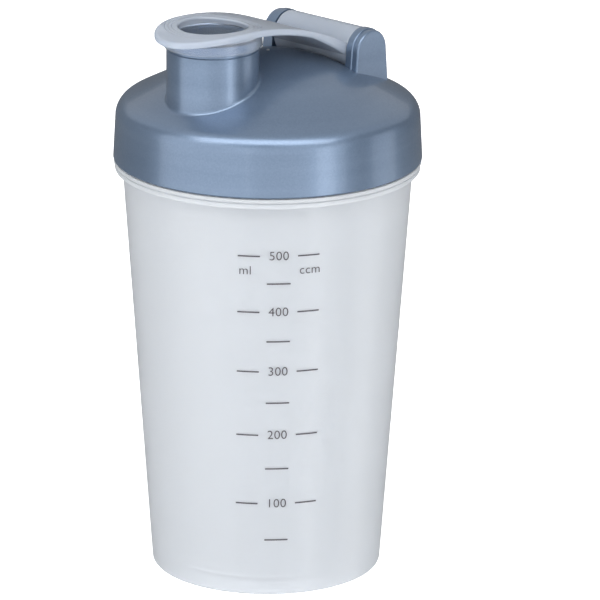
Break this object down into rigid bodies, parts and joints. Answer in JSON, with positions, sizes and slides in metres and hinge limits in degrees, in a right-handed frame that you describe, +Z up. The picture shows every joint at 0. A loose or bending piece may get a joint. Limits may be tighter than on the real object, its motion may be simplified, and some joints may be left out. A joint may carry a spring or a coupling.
{
  "type": "protein shaker bottle",
  "caption": "Frosted shaker cup with a screw lid, drinking spout, hinged flip cap, mixing sieve and seal ring.",
  "frame": {"origin": "centre of the foot ring, on the surface that the bottle stands on", "axes": "+Z up along the bottle's axis, -Y towards the spout, X along the flip cap's hinge"},
  "size_m": [0.0956, 0.0956, 0.1781],
  "materials": {
    "frosted_cup": "frosted translucent polypropylene with a printed dark grey scale",
    "silicone": "translucent white silicone",
    "pearl_blue": "blue-grey polypropylene with a fine pearl pigment, satin",
    "clear_cap": "milky translucent polypropylene",
    "natural_plastic": "natural translucent polypropylene"
  },
  "bodies": {
    "cup": {"cup": "frosted_cup"},
    "rising_seal": {"seal_ring": "silicone"},
    "lid": {"screw_lid": "pearl_blue"},
    "cap": {"flip_cap": "clear_cap"},
    "sieve": {"mixing_sieve": "natural_plastic"}
  },
  "joints": [
    {"name": "lid_rise", "type": "slide", "parent": "cup", "child": "rising_seal", "axis": [0, 0, 1], "range_m": [0, 0.008]},
    {"name": "lid_turn", "type": "hinge", "parent": "rising_seal", "child": "lid", "pos_m": [0, 0, 0.1316], "axis": [0, 0, 1], "range_deg": [0, 480]},
    {"name": "cap_open", "type": "hinge", "parent": "lid", "child": "cap", "pos_m": [0, 0.0255, 0.1638], "axis": [-1, 0, 0], "range_deg": [0, 190]},
    {"name": "sieve_pull", "type": "slide", "parent": "lid", "child": "sieve", "axis": [0, 0, -1], "range_m": [0, 0.008]}
  ],
  "couplings": [
    {"joint": "lid_rise", "follows": "lid_turn", "m_per_rad": 0.00095493}
  ]
}
